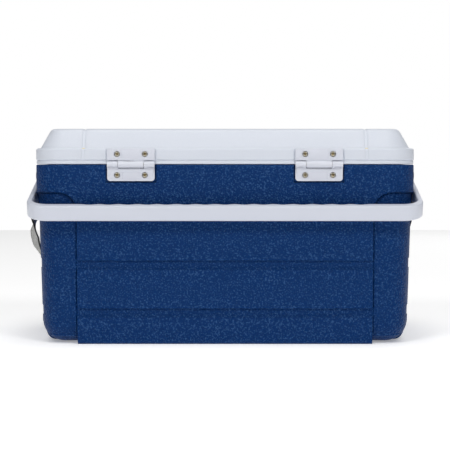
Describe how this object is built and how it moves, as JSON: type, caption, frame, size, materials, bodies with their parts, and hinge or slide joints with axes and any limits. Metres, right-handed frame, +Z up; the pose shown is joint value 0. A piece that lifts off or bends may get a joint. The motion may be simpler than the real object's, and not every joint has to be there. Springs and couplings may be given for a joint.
{
  "type": "cooler chest",
  "caption": "Hard insulated cooler chest with a screw-hinged lid, a swing-over bail handle with finger grips, a front latch and a webbing strap.",
  "frame": {"origin": "centre of the chest's flat underside, on the surface it stands on", "axes": "+Z up, +X along the chest's length, +Y towards the hinges at the back; the latch is at -Y"},
  "size_m": [0.538, 0.3624, 0.282],
  "materials": {
    "blue_polyethylene": "satin",
    "pale_polyethylene": "satin",
    "handle_plastic": "satin",
    "hinge_nylon": "satin",
    "white_liner": "satin",
    "insulating_foam": "matte",
    "gasket_rubber": "matte",
    "zinc_steel": "satin",
    "black_nylon": "satin",
    "black_acetal": "satin",
    "grey_webbing": "matte"
  },
  "bodies": {
    "chest": {"body_outer_shell": "blue_polyethylene", "body_inner_liner": "white_liner", "body_foam": "insulating_foam", "hinge_left_body_leaf": "hinge_nylon", "hinge_left_pin": "zinc_steel", "pivot_bolt_left": "black_nylon", "strap_anchor_left": "black_acetal", "strap_end_left": "grey_webbing", "hinge_right_body_leaf": "hinge_nylon", "hinge_right_pin": "zinc_steel", "pivot_bolt_right": "black_nylon", "strap_anchor_right": "black_acetal", "strap_end_right": "grey_webbing", "hinge_left_body_screw_a": "zinc_steel", "hinge_left_body_screw_b": "zinc_steel", "hinge_right_body_screw_a": "zinc_steel", "hinge_right_body_screw_b": "zinc_steel", "latch_keeper_screw_a": "zinc_steel", "latch_keeper_screw_b": "zinc_steel", "latch_keeper": "hinge_nylon", "strap_webbing": "grey_webbing", "strap_adjuster": "black_acetal"},
    "lid": {"lid_outer_shell": "pale_polyethylene", "lid_foam": "insulating_foam", "lid_inner_panel": "white_liner", "lid_gasket": "gasket_rubber", "hinge_left_lid_leaf": "hinge_nylon", "hinge_right_lid_leaf": "hinge_nylon", "latch_base": "hinge_nylon", "latch_pin": "zinc_steel", "hinge_left_lid_screw_a": "zinc_steel", "hinge_left_lid_screw_b": "zinc_steel", "hinge_right_lid_screw_a": "zinc_steel", "hinge_right_lid_screw_b": "zinc_steel", "latch_base_screw_a": "zinc_steel", "latch_base_screw_b": "zinc_steel"},
    "latch": {"latch_lever": "hinge_nylon"},
    "bail": {"bail_handle": "handle_plastic"}
  },
  "joints": [
    {"name": "lid_hinge", "type": "hinge", "parent": "chest", "child": "lid", "pos_m": [0, 0.1535, 0.235], "axis": [-1, 0, 0], "range_deg": [0, 105]},
    {"name": "latch_pivot", "type": "hinge", "parent": "lid", "child": "latch", "pos_m": [0, -0.1559, 0.2515], "axis": [-1, 0, 0], "range_deg": [0, 110]},
    {"name": "bail_swing", "type": "hinge", "parent": "chest", "child": "bail", "pos_m": [0, 0, 0.22], "axis": [1, 0, 0], "range_deg": [0, 213]}
  ]
}
